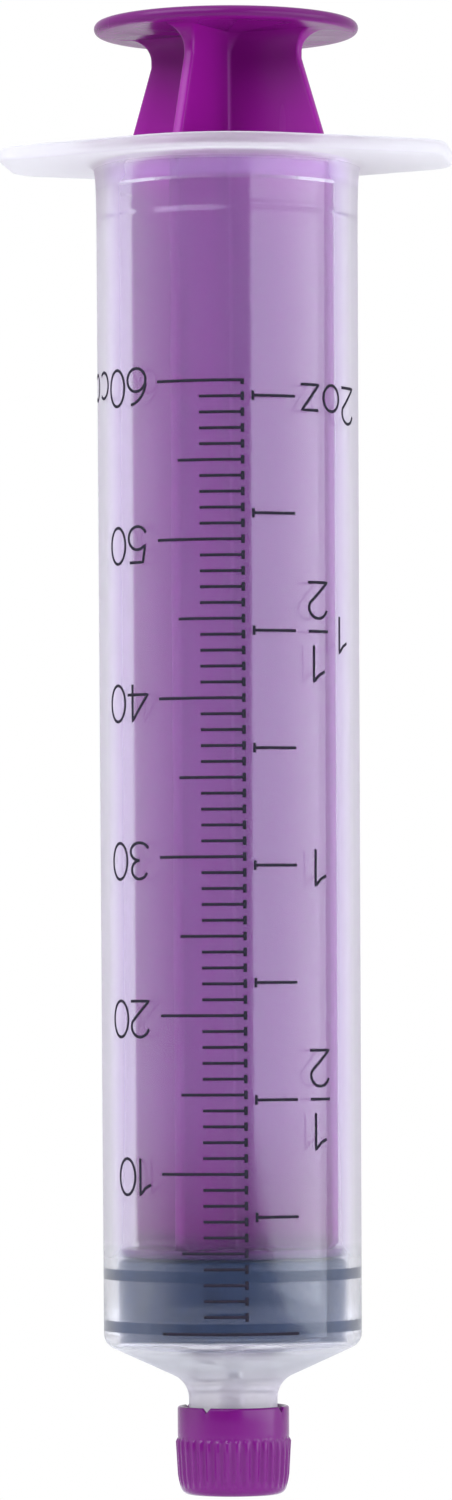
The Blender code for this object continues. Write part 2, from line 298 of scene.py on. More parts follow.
def barrel_zones(n):
    """Places where the barrel's plastic differs, or where painted light is laid on it, as node outputs that
    are 1 inside and 0 outside.
    """
    zones = {
        "flange": n.above(FLANGE_BOTTOM - 0.5 * MM, 0.7 * MM),
        "collar": n.above(BORE_ENTRY, 0.4 * MM),
        # Painted light: the haze thickens from the seal's top to 18 mm above it, standing in for light
        # inside the tube
        "tube": n.above(SEAL_HIGH.z + 9 * MM, 9 * MM),
        # Painted light: above this line the haze turns lavender, as light bounced off the purple rod, and
        # gains more sheen
        "painted_light_over_seal": n.above(SEAL_HIGH.z + 1.0 * MM, 1.0 * MM),
        "cone": n.below(SHOULDER_TOP - 0.6 * MM, 0.5 * MM),
        # Painted light: where the haze takes the pink of the cap's light
        "neck": n.below(SHOULDER_BOTTOM + 0.8 * MM, 1.4 * MM),
    }
    grazing = n.add("ShaderNodeLayerWeight", Blend=0.5).outputs["Facing"]
    zones["sheen"] = n.spread(grazing, 0, 1, 0.33, 0.66)
    zones["upper_sheen"] = n.math("MULTIPLY", zones["sheen"], zones["painted_light_over_seal"])
    solid = n.math("MAXIMUM", zones["cone"], zones["flange"])
    zones["pale"] = n.math("MAXIMUM", solid, zones["sheen"])
    return zones


def haze_color(n, zones):
    """Blue beside the seal, painted lavender light from the rod above it, and whitish at the cone, the
    flange and the sheen.
    """
    color = n.tint(zones["painted_light_over_seal"], HAZE_BESIDE_SEAL, HAZE_AND_ROD_LIGHT_IN_TUBE)
    color = n.tint(zones["pale"], None, HAZE_WHERE_PALE, color)
    color = n.tint(zones["cone"], None, HAZE_IN_CONE, color)
    # Painted light: the neck's pink tint from the cap
    return n.tint(zones["neck"], None, HAZE_AND_CAP_LIGHT_IN_NECK, color)


def frosted_plastic():
    """Natural polypropylene. The tube is clear enough to read the rod through it, with a thin haze, a pale
    sheen at its sides, and above the seal painted lavender light that thickens the haze. The cone at the tip
    and the flange are milky."""
    n = Nodes("frosted_polypropylene")
    zones = barrel_zones(n)
    cloud = n.noise(90, 4, (1, 1, 0.25))
    streak = n.noise(700, 2, (1, 1, 0.02))
    n.link(n.tint(n.spread(cloud, 0, 1), *CLEAR_TINTS), "Base Color")
    n.link(n.total(n.spread(cloud, 0.07, 0.10), zones, ROUGHNESS_SHARES), "Roughness")
    n.set(IOR=PLASTIC_IOR, Transmission_Weight=1.0)
    n.bump(streak, 0.015, 0.00006)
    veil = n.add("ShaderNodeBsdfDiffuse", {"Color": haze_color(n, zones)})
    glow_color = n.tint(zones["pale"], GLOW_IN_TUBE, GLOW_WHERE_PALE)
    glow = n.add("ShaderNodeBsdfTranslucent", {"Color": glow_color})
    glow_share = n.spread(zones["pale"], 0.25, 0.65, 0, 1)
    haze = n.add("ShaderNodeMixShader", {0: glow_share, 1: veil.outputs[0], 2: glow.outputs[0]})
    n.cover(n.total(n.spread(cloud, 0.016, 0.026), zones, HAZE_SHARES), haze)
    return n.material


# ---------------------------------------------------------------- purple plastic, rubber and ink
ROD_PURPLES = (0.228, 0.005, 0.212), (0.248, 0.008, 0.232)
CAP_PURPLES = (0.14, 0.003, 0.145), (0.17, 0.005, 0.175)
# Painted shade on the rod: its colour at the disc and the ribs' feet, and at the thumb rest
DISC_SHADE_PURPLE = (0.05, 0.018, 0.075)
REST_SHADE_PURPLE = (0.12, 0.006, 0.115)
RUBBER_GREYS = (0.015, 0.030, 0.072), (0.022, 0.039, 0.092)
INK_BLACKS = (0.006, 0.005, 0.01), (0.02, 0.015, 0.03)


def purple_plastic(name, purples, roughness, gloss):
    """Moulded purple polypropylene with a faint flow pattern and a fine grain. Returns the nodes and
    the colour's output, which isn't joined to the shader yet."""
    n = Nodes(name)
    flow = n.noise(60, 3, (1, 1, 0.3))
    n.link(n.spread(flow, roughness - 0.04, roughness + 0.04), "Roughness")
    n.set(IOR=PLASTIC_IOR, Specular_IOR_Level=gloss)
    n.bump(n.noise(1800, 2), 0.05, 0.00004)
    return n, n.tint(n.spread(flow, 0, 1), *purples)


def rod_plastic():
    """The rod's purple plastic. The disc with the ribs' feet just above it, and the thumb rest, are darkened
    by painted shade.
    """
    n, color = purple_plastic("purple_polypropylene", ROD_PURPLES, 0.24, 0.16)
    # Painted shade: the disc and the lowest two millimetres of the ribs are darkened, as if shadowed by the
    # seal and the disc
    color = n.tint(n.below(DISC_TOP + 0.6 * MM, 1.6 * MM), None, DISC_SHADE_PURPLE, color)
    # Painted shade: the thumb rest is darkened, as if less light fell on it from above
    color = n.tint(n.above(ROD_HIGH.z - 1.3 * MM, 0.2 * MM), None, REST_SHADE_PURPLE, color)
    n.link(color, "Base Color")
    return n.material


def cap_plastic():
    """The cap's plastic lets a little light through."""
    n, color = purple_plastic("purple_cap_polypropylene", CAP_PURPLES, 0.18, 0.25)
    n.link(color, "Base Color")
    n.set(Transmission_Weight=0.15)
    return n.material


def seal_rubber():
    """Dark blue-grey rubber with an oiled satin skin."""
    n = Nodes("seal_rubber")
    cloud = n.noise(400, 4)
    n.link(n.tint(n.spread(cloud, 0, 1), *RUBBER_GREYS), "Base Color")
    n.link(n.spread(cloud, 0.42, 0.55), "Roughness")
    n.set(Specular_IOR_Level=0.25)
    n.bump(cloud, 0.08, 0.00005)
    return n.material


def black_ink():
    """Dull black ink that is slightly uneven."""
    n = Nodes("black_ink")
    cloud = n.noise(3000, 3)
    n.link(n.tint(n.spread(cloud, 0, 1), *INK_BLACKS), "Base Color")
    n.link(n.spread(cloud, 0.7, 0.9), "Roughness")
    n.set(Specular_IOR_Level=0.2)
    return n.material


# ---------------------------------------------------------------- barrel
def flange_radii():
    """How far the flange's edge is from the axis in each direction."""
    tip = (FLANGE_HALF_LENGTH - FLANGE_TIP_ROUNDING, FLANGE_TIP_HALF_WIDTH)
    lean = math.acos((FLANGE_MIDDLE_RADIUS - FLANGE_TIP_ROUNDING) / math.hypot(*tip))
    wing = math.degrees(math.atan2(tip[1], tip[0]) + lean)
    middle = arc((0, 0), FLANGE_MIDDLE_RADIUS, 90, wing, 24)
    corner = arc(tip, FLANGE_TIP_ROUNDING, wing, 0, 24)
    start, end = np.array(middle[-1]), np.array(corner[0])
    edge = [tuple(start + (end - start) * t) for t in np.linspace(0, 1, 41)[1:-1]]
    side = [(FLANGE_HALF_LENGTH, y) for y in np.linspace(FLANGE_TIP_HALF_WIDTH, 0, 12)[1:]]
    quarter = np.array(middle + edge + corner + side)
    angle = np.arctan2(quarter[:, 1], quarter[:, 0])[::-1]
    reach = np.hypot(quarter[:, 0], quarter[:, 1])[::-1]
    turns = np.arange(ROUND) * 2 * math.pi / ROUND
    folded = np.abs((turns + math.pi / 2) % math.pi - math.pi / 2)
    return np.interp(folded, angle, reach)


def flange_rings():
    """The flange: top face outwards, round edge, underside inwards, and the fillet into the tube."""
    reach = flange_radii()
    edge = FLANGE_THICKNESS / 2 - 0.15 * MM
    start = BORE_ENTRY_RADIUS + 0.5 * MM
    rings = [circle(start + (reach - edge - start) * share, FLANGE_TOP) for share in (0.0, 0.3, 0.65)]
    for middle, first in ((FLANGE_TOP - edge, 90), (FLANGE_BOTTOM + edge, 0)):
        for across, height in arc((0, middle), edge, first, first - 90, 5):
            rings.append(circle(reach - edge + across, height))
    root = TOP_RADIUS + FLARE + FLANGE_FILLET
    for share in (0.6, 0.25):
        rings.append(circle(root + (reach - edge - root) * share, FLANGE_BOTTOM))
    return rings + turned(arc((root, FLANGE_BOTTOM - FLANGE_FILLET), FLANGE_FILLET, 90, 172, 7))


def outer_radius(height):
    """The tube's outside, which widens slightly from the shoulder to the flange."""
    share = (height - SHOULDER_TOP) / (FLANGE_BOTTOM - SHOULDER_TOP)
    flare = max(0.0, (height - FLANGE_BOTTOM + FLARE_LENGTH) / FLARE_LENGTH)
    return TIP_RADIUS + (TOP_RADIUS - TIP_RADIUS) * share + FLARE * flare * flare


def tube_rings():
    """The tube downwards, its rounded corner, the sloping shoulder, the fillet and the neck."""
    slope = math.degrees(math.atan2(SHOULDER_TOP - SHOULDER_BOTTOM, TIP_RADIUS - NECK_RADIUS))
    turn = math.tan(math.radians(90 - slope) / 2)
    heights = [FLANGE_BOTTOM - drop * MM for drop in (1.8, 2.8, 3.8, 4.8, 5.8, 7.0)]
    heights += list(np.linspace(FLANGE_BOTTOM - 12 * MM, SHOULDER_TOP + 4 * MM, 13))
    corner = (TIP_RADIUS - SHOULDER_ROUNDING, SHOULDER_TOP + SHOULDER_ROUNDING * turn)
    inside = (NECK_RADIUS + NECK_FILLET, SHOULDER_BOTTOM - NECK_FILLET * turn)
    return turned([
        *[(outer_radius(height), height) for height in heights],
        *arc(corner, SHOULDER_ROUNDING, 0, slope - 90, 10),
        *arc(inside, NECK_FILLET, slope + 90, 180, 14),
        (NECK_RADIUS, CAP_HIGH.z - 0.3 * MM),
        (NOZZLE_RADIUS, CAP_HIGH.z - 0.9 * MM),
    ])


def helix_wave(height, count=ROUND):
    """0 to 1 around a ring: where the crests of the double thread pass at this height."""
    turns = np.arange(count) / count
    phase = (THREAD_STARTS * (height / THREAD_LEAD - turns)) % 1.0
    return smooth(np.clip(1 - np.abs(phase - 0.5) / THREAD_HALF_WIDTH, 0, 1))


def thread_rings():
    """The nozzle downwards to its open end, with its outer thread, which fades out at both ends."""
    top, bottom = NOZZLE_END + 7.3 * MM, NOZZLE_END + 0.9 * MM
    rings = [circle(NOZZLE_RADIUS, top + 0.4 * MM)]
    for height in np.linspace(top, bottom, 52):
        share = (top - height) / (top - bottom)
        fade = min(1.0, share / 0.12, (1 - share) / 0.12)
        ridge = (THREAD_CREST - NOZZLE_RADIUS) * fade * helix_wave(height)
        rings.append(circle(NOZZLE_RADIUS + ridge, height))
    end = (NOZZLE_RADIUS - NOZZLE_ROUNDING, NOZZLE_END + NOZZLE_ROUNDING)
    return rings + turned(arc(end, NOZZLE_ROUNDING, 0, -90, 5))


def bead_profile():
    """The low bead inside the bore that keeps the seal from coming out."""
    profile = []
    for share in np.linspace(-1, 1, 9):
        swell = BEAD_DEPTH * 0.5 * (1 + math.cos(math.pi * share))
        profile.append((BORE_RADIUS - swell, BEAD_HEIGHT + share * BEAD_HALF_HEIGHT))
    return profile


def inside_profile():
    """The barrel's inside upwards: socket, channel, bore, bead, and the wider entry."""
    socket, floor, entry = 0.3 * MM, 0.25 * MM, 0.4 * MM
    wall = np.linspace(BORE_FLOOR + 6 * MM, BEAD_HEIGHT - 1.2 * MM, 12)
    return [
        *arc((SOCKET_RADIUS + socket, NOZZLE_END + socket), socket, -90, -180, 4),
        (SOCKET_RADIUS, NOZZLE_END + 3 * MM),
        (SOCKET_RADIUS, SOCKET_FLOOR),
        (CHANNEL_RADIUS, SOCKET_FLOOR),
        (CHANNEL_RADIUS, BORE_FLOOR - 0.1 * MM),
        (CHANNEL_RADIUS + 0.1 * MM, BORE_FLOOR),
        (BORE_RADIUS * 0.5, BORE_FLOOR),
        *arc((BORE_RADIUS - floor, BORE_FLOOR + floor), floor, -90, 0, 4),
        *[(BORE_RADIUS, height) for height in wall],
        *bead_profile(),
        (BORE_RADIUS, BORE_ENTRY - 0.35 * MM),
        (BORE_ENTRY_RADIUS, BORE_ENTRY),
        (BORE_ENTRY_RADIUS, FLANGE_TOP - 0.5 * MM),
        *arc((BORE_ENTRY_RADIUS + entry, FLANGE_TOP - entry), entry, 180, 110, 4),
    ]


def make_barrel():
    rings = flange_rings() + tube_rings() + thread_rings() + turned(inside_profile())
    barrel = skin("barrel_shell", rings, loop=True)
    return show(barrel, "barrel", "barrel", frosted_plastic())


# ---------------------------------------------------------------- printed scale
INK_LIFT = 0.03 * MM
INK_THICKNESS = 0.024 * MM
INK_STEP = 0.35 * MM
STROKE = 0.34 * MM
SPINE_STROKE = 0.42 * MM
SIGN_HEIGHT = 4.4 * MM
SIGN_STRETCH = 1.2

# Gaps between the signs of a number, as shares of their height
ML_GAP = 0.06
OUNCE_GAP = 0.07

# Millilitre side: how long the ticks are, and where the numbers start
ONE_TICK = 4.9 * MM
FIVE_TICK = 7.45 * MM
TEN_TICK = 10.0 * MM
ML_NUMBER = 11.4 * MM

# Ounce side: where the ticks and the fractions' lines start and end
ML_PER_OUNCE = 29.574
OUNCE_MARKS = 8
HALF_MARKS = (2, 6)
OUNCE_TICK = (1.2 * MM, 6.25 * MM)
FRACTION_LINE = (8.0 * MM, 11.0 * MM)

# Text beside an ounce mark, by the mark's count: where it starts, and how far its middle is below
OUNCE_TEXTS = {
    4: ("1", 10.6 * MM, 0.3 * MM),
    6: ("1", 14.9 * MM, 0.3 * MM),
    8: ("2oz", 17.0 * MM, 0.6 * MM),
}


def on_barrel(along, height):
    """A point of the print: along is the distance round the barrel from the spine, to the right."""
    radius = outer_radius(height) + INK_LIFT
    angle = SPINE_ANGLE + along / TIP_RADIUS
    return Vector((radius * math.cos(angle), radius * math.sin(angle), height))


def dense(points):
    """The same line with extra points, so that it bends round the barrel."""
    result = [points[0]]
    for a, b in zip(points, points[1:]):
        parts = max(1, math.ceil(math.dist(a, b) / INK_STEP))
        result += [tuple(np.add(a, np.subtract(b, a) * i / parts)) for i in range(1, parts + 1)]
    return result


def add_stroke(bm, points, width=STROKE):
    """A flat ribbon of ink along a line of (along, height) points."""
    line = [Vector(p) for p in dense(points)]
    rows = []
    for i, point in enumerate(line):
        before, after = line[max(i - 1, 0)], line[min(i + 1, len(line) - 1)]
        side = (after - before).normalized().orthogonal() * width / 2
        rows.append([bm.verts.new(on_barrel(*place)) for place in (point + side, point - side)])
    for (a, b), (c, d) in zip(rows, rows[1:]):
        bm.faces.new((a, b, d, c))


def oval(cx, cy, rx, ry, start, end, steps=20):
    """Points of an oval, between two angles in degrees."""
    angles = np.radians(np.linspace(start, end, steps + 1))
    return [(cx + rx * math.cos(a), cy + ry * math.sin(a)) for a in angles]


# Width and strokes of each sign in a box one unit tall; x runs in the reading direction
SIGNS = {
    "0": (0.61, [oval(0.29, 0.5, 0.27, 0.47, 90, 450, 32)]),
    "1": (0.42, [[(0.02, 0.70), (0.18, 0.79), (0.33, 0.97), (0.33, 0.02)]]),
    "2": (0.62, [oval(0.31, 0.69, 0.26, 0.28, 165, -25) + [(0.05, 0.04), (0.60, 0.04)]]),
    "3": (0.62, [
        oval(0.30, 0.73, 0.23, 0.24, 160, -90, 18) + oval(0.30, 0.26, 0.27, 0.23, 90, -160, 18)]),
    "4": (0.66, [[(0.48, 0.02), (0.48, 0.97), (0.03, 0.29), (0.64, 0.29)]]),
    "5": (0.62, [[(0.54, 0.96), (0.14, 0.96), (0.08, 0.52)] + oval(0.30, 0.33, 0.27, 0.30, 130, -155)]),
    "6": (0.62, [oval(0.31, 0.33, 0.27, 0.30, 0, 360, 28), oval(0.53, 0.38, 0.49, 0.59, 97, 178, 14)]),
    "c": (0.56, [oval(0.29, 0.36, 0.25, 0.34, 50, 310)]),
    "o": (0.62, [oval(0.31, 0.36, 0.26, 0.34, 90, 450, 28)]),
    "z": (0.56, [[(0.05, 0.70), (0.50, 0.70), (0.04, 0.04), (0.53, 0.04)]]),
}


def add_sign(bm, sign, start, foot, gap=ML_GAP):
    """Draw one sign upside down: it reads with the tip up, so it runs to the left and downwards.
    Returns where the next sign starts."""
    width, strokes = SIGNS[sign]
    for stroke in strokes:
        add_stroke(bm, [(start - x * SIGN_HEIGHT * SIGN_STRETCH, foot - y * SIGN_HEIGHT) for x, y in stroke])
    return start - (width * SIGN_STRETCH + gap) * SIGN_HEIGHT


def add_text(bm, text, start, middle, gap=ML_GAP):
    """Draw a row of signs, with their middles at this height."""
    for sign in text:
        start = add_sign(bm, sign, start, middle + SIGN_HEIGHT / 2, gap)


def print_object(name, bm):
    """The printed strokes as one piece, with the ink's thickness."""
    obj = new_object(name, bm)
    solid = obj.modifiers.new("Ink", "SOLIDIFY")
    solid.thickness = INK_THICKNESS
    solid.offset = 0
    return show(obj, "barrel", None, black_ink())


def make_ml_scale():
    """A tick for every millilitre, each with a short upright at the spine, and a number every ten."""
    bm = bmesh.new()
    upright, number_drop = 0.5 * MM, 0.35 * MM
    for value in range(1, CAPACITY_ML + 1):
        height = ZERO_LINE + value * SCALE_LENGTH / CAPACITY_ML
        length = TEN_TICK if value % 10 == 0 else FIVE_TICK if value % 5 == 0 else ONE_TICK
        add_stroke(bm, [(0, height), (-length, height)])
        top = STROKE / 2 if value == CAPACITY_ML else upright
        add_stroke(bm, [(0, height - upright), (0, height + top)], SPINE_STROKE)
        if value % 10 == 0:
            text = "60cc" if value == CAPACITY_ML else str(value)
            add_text(bm, text, -ML_NUMBER, height - number_drop)
    foot = ZERO_LINE - 0.15 * MM
    add_stroke(bm, [(-TEN_TICK, foot), (OUNCE_TICK[1], foot)])
    return print_object("scale_millilitres", bm)


def add_half(bm, height):
    """Draw one half as a fraction, with its line at this height."""
    two_start, two_foot = 11.1 * MM, height + 5.75 * MM
    one_start, one_foot = 10.5 * MM, height - 1.5 * MM
    add_sign(bm, "2", two_start, two_foot)
    add_stroke(bm, [(place, height) for place in FRACTION_LINE])
    add_sign(bm, "1", one_start, one_foot)


def make_oz_scale():
    """A tick for every quarter of a fluid ounce, numbered every half."""
    bm = bmesh.new()
    quarter = ML_PER_OUNCE / 4 * SCALE_LENGTH / CAPACITY_ML
    left, upright = OUNCE_TICK[0], 0.55 * MM
    for count in range(1, OUNCE_MARKS + 1):
        height = ZERO_LINE + count * quarter - 0.2 * MM
        add_stroke(bm, [(place, height) for place in OUNCE_TICK])
        add_stroke(bm, [(left, height - upright), (left, height + upright)])
        if count in OUNCE_TEXTS:
            text, start, drop = OUNCE_TEXTS[count]
            add_text(bm, text, start, height - drop, OUNCE_GAP)
        if count in HALF_MARKS:
            add_half(bm, height)
    return print_object("scale_ounces", bm)


# ---------------------------------------------------------------- piston seal
SEAL_POINTS = 192
SEAL_BAND = BORE_RADIUS - 0.12 * MM
SEAL_SQUEEZED = BORE_RADIUS + 0.02 * MM
UPPER_RING = SEAL_LOW.z + 7.255 * MM
LOWER_RING = SEAL_LOW.z + 1.305 * MM
POCKET_FLOOR = SEAL_LOW.z + 2.5 * MM
POCKET_RADIUS = 9.5 * MM
POCKET_MOUTH_RADIUS = 7.1 * MM

# Upper half of a sealing ring: millimetres above its middle, and share of its bulge
RING_SECTION = ((0.95, 0), (0.78, 0.35), (0.64, 0.85), (0.56, 1))


def ring_profile(middle):
    """The section of one sealing ring, downwards."""
    section = [*RING_SECTION, *[(-height, share) for height, share in reversed(RING_SECTION)]]
    bulge = SEAL_SQUEEZED - SEAL_BAND
    return [(SEAL_BAND + bulge * share, middle + height * MM) for height, share in section]


def make_seal():
    """Two rings that press against the bore, a thinner band between them, and a pocket for the rod."""
    low, face = SEAL_LOW.z, SEAL_LOW.z - 0.1 * MM
    lip, shoulder = 0.4 * MM, 0.7 * MM
    profile = [
        (5 * MM, POCKET_FLOOR),
        (POCKET_RADIUS, POCKET_FLOOR),
        (POCKET_RADIUS, low + 7.1 * MM),
        (POCKET_MOUTH_RADIUS, low + 7.2 * MM),
        (POCKET_MOUTH_RADIUS - 0.1 * MM, low + 8.5 * MM),
        *arc((POCKET_MOUTH_RADIUS + 0.3 * MM, low + 8.5 * MM), lip, 180, 90, 4),
        *arc((SEAL_BAND - shoulder, low + 8.2 * MM), shoulder, 90, 0, 5),
        *ring_profile(UPPER_RING),
        *ring_profile(LOWER_RING),
        (SEAL_BAND - 0.2 * MM, low + 0.05 * MM),
        (SEAL_BAND - 0.5 * MM, face),
        (6 * MM, face),
    ]
    rubber = seal_rubber()
    show(skin("seal_rings", turned(profile, SEAL_POINTS)), "seal", "piston_seal", rubber)
    make_seal_nub(rubber)


def make_seal_nub(rubber):
    """The moulding gate's small round mark on the seal's face, which touches the bore's floor."""
    radius, face, foot = 0.95 * MM, SEAL_LOW.z - 0.05 * MM, BORE_FLOOR - 0.02 * MM
    forward, left = 6.3 * MM, 2.7 * MM
    toward = Vector((math.cos(VIEW_ANGLE), math.sin(VIEW_ANGLE), 0))
    place = toward * forward + toward.cross(Vector((0, 0, 1))) * left
    rings = turned([(radius, face), (radius, foot + 0.1 * MM), (radius * 0.9, foot)], 32)
    nub = skin("seal_nub", [ring + np.array(place) for ring in rings])
    show(nub, "seal", None, rubber)


# ---------------------------------------------------------------- plunger rod
RIB_HALF = 0.625 * MM
RIB_TIP = 0.4 * MM
RIB_FILLET = 0.5 * MM
RIB_REACH = 12.85 * MM
WAIST_REACH = 9.59 * MM
WAIST_START = 155.0 * MM
WAIST_END = 165.2 * MM
DISC_LOW = SEAL_HIGH.z + 0.3 * MM
DISC_TOP = DISC_LOW + 1.0 * MM
DISC_ROUNDING = 0.3 * MM
DISC_RADIUS = 12.95 * MM
HEAD_RADIUS = 9.2 * MM
ROD_NECK_RADIUS = 6.7 * MM
REST_LOW = ROD_HIGH.z - 1.42 * MM
REST_FILLET = 2.4 * MM


def cross(reach, height, half=RIB_HALF, fillet=RIB_FILLET):
    """A level ring round four crossed ribs, with rounded tips and filleted inner corners."""
    root = half + fillet
    straight = np.linspace(0, 1, 8)[1:-1]
    quarter = arc((reach - RIB_TIP, half - RIB_TIP), RIB_TIP, 0, 90, 5)
    quarter += [(reach - RIB_TIP + (root - reach + RIB_TIP) * t, half) for t in straight]
    quarter += arc((root, root), fillet, 270, 180, 14)
    quarter += [(half, root + (reach - RIB_TIP - root) * t) for t in straight]
    quarter += arc((half - RIB_TIP, reach - RIB_TIP), RIB_TIP, 0, 90, 5)[:-1]
    points = []
    for turn in range(4):
        angle = turn * math.pi / 2 + RIB_TURN
        c, s = math.cos(angle), math.sin(angle)
        points += [(c * x - s * y, s * x + c * y, height) for x, y in quarter]
    return np.array(points)


def rod_circles(profile):
    """Level circles with as many points as the cross, which start where the cross's do."""
    count = len(cross(RIB_REACH, 0))
    angles = RIB_TURN + np.arange(count) * 2 * math.pi / count
    around = np.stack([np.cos(angles), np.sin(angles), np.zeros(count)], 1)
    return [around * radius + np.array((0, 0, height)) for radius, height in profile]


def head_rings():
    """The head that sits in the seal's pocket, the neck above it, and the disc behind the seal."""
    base, head_top = ROD_LOW.z, DISC_LOW - 2.4 * MM
    rim = DISC_RADIUS - DISC_ROUNDING
    return rod_circles([
        (5 * MM, base), (7.6 * MM, base), (HEAD_RADIUS, base + 1.5 * MM), (HEAD_RADIUS, head_top),
        (ROD_NECK_RADIUS, head_top), (ROD_NECK_RADIUS, DISC_LOW),
        *arc((rim, DISC_LOW + DISC_ROUNDING), DISC_ROUNDING, -90, 0, 4),
        *arc((rim, DISC_TOP - DISC_ROUNDING), DISC_ROUNDING, 0, 90, 4),
        (12.3 * MM, DISC_TOP),
    ])


def rib_rings():
    """The ribs, which grow out of the disc, narrow to a waist and spread out under the thumb rest."""
    rings = []
    foot_height, foot_spread, foot_reach = 1.1, 0.6 * MM, 12.2 * MM
    for rise in (0.0, 0.12, 0.35, 0.7, foot_height):
        spread = foot_spread * (1 - math.sqrt(max(0.0, 1 - (1 - rise / foot_height) ** 2)))
        reach = min(RIB_REACH, foot_reach + rise * MM)
        rings.append(cross(reach, DISC_TOP + rise * MM, RIB_HALF + spread))
    rings += [cross(RIB_REACH, height) for height in np.linspace(DISC_TOP + 8 * MM, WAIST_START, 14)]
    for share in np.linspace(0, 1, 9)[1:]:
        reach = RIB_REACH + (WAIST_REACH - RIB_REACH) * share
        rings.append(cross(reach, WAIST_START + (WAIST_END - WAIST_START) * share))
    room = REST_LOW - WAIST_END
    for out, rise in arc((REST_FILLET, room - REST_FILLET), REST_FILLET, 180, 95, 8):
        spread = 0.9 * MM * (max(0.0, rise) / room) ** 3
        height = WAIST_END + max(rise, 0.05 * MM)
        rings.append(cross(WAIST_REACH + out, height, RIB_HALF + spread, RIB_FILLET + spread))
    return rings


def rest_rings():
    """The thumb rest, a thin round plate with a fully rounded edge."""
    half = (ROD_HIGH.z - REST_LOW) / 2
    edge = arc((ROD_HIGH.x - half, REST_LOW + half), half, -90, 90, 12)
    return rod_circles([(13.2 * MM, REST_LOW), *edge, (10 * MM, ROD_HIGH.z)])


def make_rod():
    rod = skin("rod_and_thumb_rest", head_rings() + rib_rings() + rest_rings())
    return show(rod, "rod", "plunger_rod", rod_plastic())


# ---------------------------------------------------------------- tip cap
# Heights are counted from the cap's base, at the origin
GRIP_RIBS = 36
CAP_POINTS = GRIP_RIBS * 10
GRIP_LOW, GRIP_TOP = 1.3 * MM, 6.55 * MM
GRIP_LOW_RADIUS, GRIP_TOP_RADIUS = 6.12 * MM, 6.42 * MM
GRIP_RIB_HEIGHT = 0.28 * MM
CAP_RADIUS = 6.44 * MM
CAP_BORE = 5.7 * MM
CAP_FLOOR = 1.3 * MM
CAP_THREAD_DEPTH = 0.5 * MM
CAP_BASE_ROUNDING = 1.1 * MM
RIM_ROUNDING = 0.3 * MM
PLUG_RADIUS = 2.5 * MM
PLUG_TOP = 8.9 * MM

# Notches in the rim. The half turn is a share of the quarter turn from notch to notch
NOTCH_ANGLE = VIEW_ANGLE + math.radians(60)
NOTCH_HALF_TURN = 0.055
NOTCH_DEPTH = 0.6 * MM
NOTCH_REACH = 2.2 * MM


def plug_rings():
    """The plug that closes the nozzle's socket, downwards to the cap's inner floor."""
    return turned([
        (PLUG_RADIUS - 1.3 * MM, PLUG_TOP),
        (PLUG_RADIUS - 0.3 * MM, PLUG_TOP),
        (PLUG_RADIUS, PLUG_TOP - 0.4 * MM),
        (PLUG_RADIUS, CAP_FLOOR + 0.2 * MM),
        (PLUG_RADIUS + 0.2 * MM, CAP_FLOOR),
        (CAP_BORE - 0.3 * MM, CAP_FLOOR),
    ], CAP_POINTS)


def cap_thread_rings():
    """The cap's bore upwards, with an inner thread that lies between the crests of the nozzle's."""
    low, high = 1.5 * MM, 9.5 * MM
    rings = []
    for height in np.linspace(low + 0.1 * MM, high - 0.1 * MM, 60):
        fade = min(1.0, (height - low) / MM, (high - height) / MM)
        ridge = CAP_THREAD_DEPTH * fade * helix_wave(height + THREAD_LEAD / 4, CAP_POINTS)
        rings.append(circle(CAP_BORE - ridge, height, CAP_POINTS))
    return rings


def rim_rings():
    """The rounded rim, and the smooth band below it."""
    top, middle = CAP_HIGH.z, CAP_HIGH.z - RIM_ROUNDING
    return turned([
        (CAP_BORE + 0.05 * MM, top - 0.25 * MM),
        *arc((6.1 * MM, middle), RIM_ROUNDING, 150, 90, 2),
        *arc((CAP_RADIUS - RIM_ROUNDING, middle), RIM_ROUNDING, 90, 0, 4),
        *[(CAP_RADIUS, height) for height in (8.5 * MM, 7.2 * MM, GRIP_TOP + 0.25 * MM)],
    ], CAP_POINTS)


def grip_rings():
    """The ribbed grip downwards. It tapers, and its ribs fade out at the top and get lower at the base."""
    turns = np.arange(CAP_POINTS) * GRIP_RIBS / CAP_POINTS
    # 0 in the grooves and 1 on the crests
    ribs = smooth(np.clip(1.25 * np.abs(((turns % 1) - 0.5) * 2) - 0.1, 0, 1))
    rings = []
    for share in (0.0, 0.03, 0.08, 0.3, 0.55, 0.8, 0.92, 1.0):
        groove = GRIP_TOP_RADIUS + (GRIP_LOW_RADIUS - GRIP_TOP_RADIUS) * share
        crest = GRIP_RIB_HEIGHT * min(1.0, share / 0.06, (1.15 - share) / 0.3)
        rings.append(circle(groove + crest * ribs, GRIP_TOP + (GRIP_LOW - GRIP_TOP) * share, CAP_POINTS))
    return rings


def base_rings():
    """The rounded lower edge and the flat base."""
    edge = arc((5.05 * MM, CAP_BASE_ROUNDING), CAP_BASE_ROUNDING, -12, -90, 8)
    return turned([*edge, (3 * MM, CAP_LOW.z)], CAP_POINTS)


def notch_rim(rings):
    """Press four small V notches, a quarter turn apart, into the cap's top rim."""
    for ring in rings:
        turns = (np.arctan2(ring[:, 1], ring[:, 0]) - NOTCH_ANGLE) / (math.pi / 2)
        dent = np.clip(1 - np.abs((turns + 0.5) % 1 - 0.5) / NOTCH_HALF_TURN, 0, 1)
        near_top = np.clip((ring[:, 2] - CAP_HIGH.z + NOTCH_REACH) / NOTCH_REACH, 0, 1)
        outside = np.hypot(ring[:, 0], ring[:, 1]) > CAP_BORE - 0.1 * MM
        ring[:, 2] -= NOTCH_DEPTH * dent * near_top * near_top * outside


def make_cap():
    rings = plug_rings() + cap_thread_rings() + rim_rings() + grip_rings() + base_rings()
    notch_rim(rings)
    return show(skin("screw_cap", rings), "cap", "tip_cap", cap_plastic())


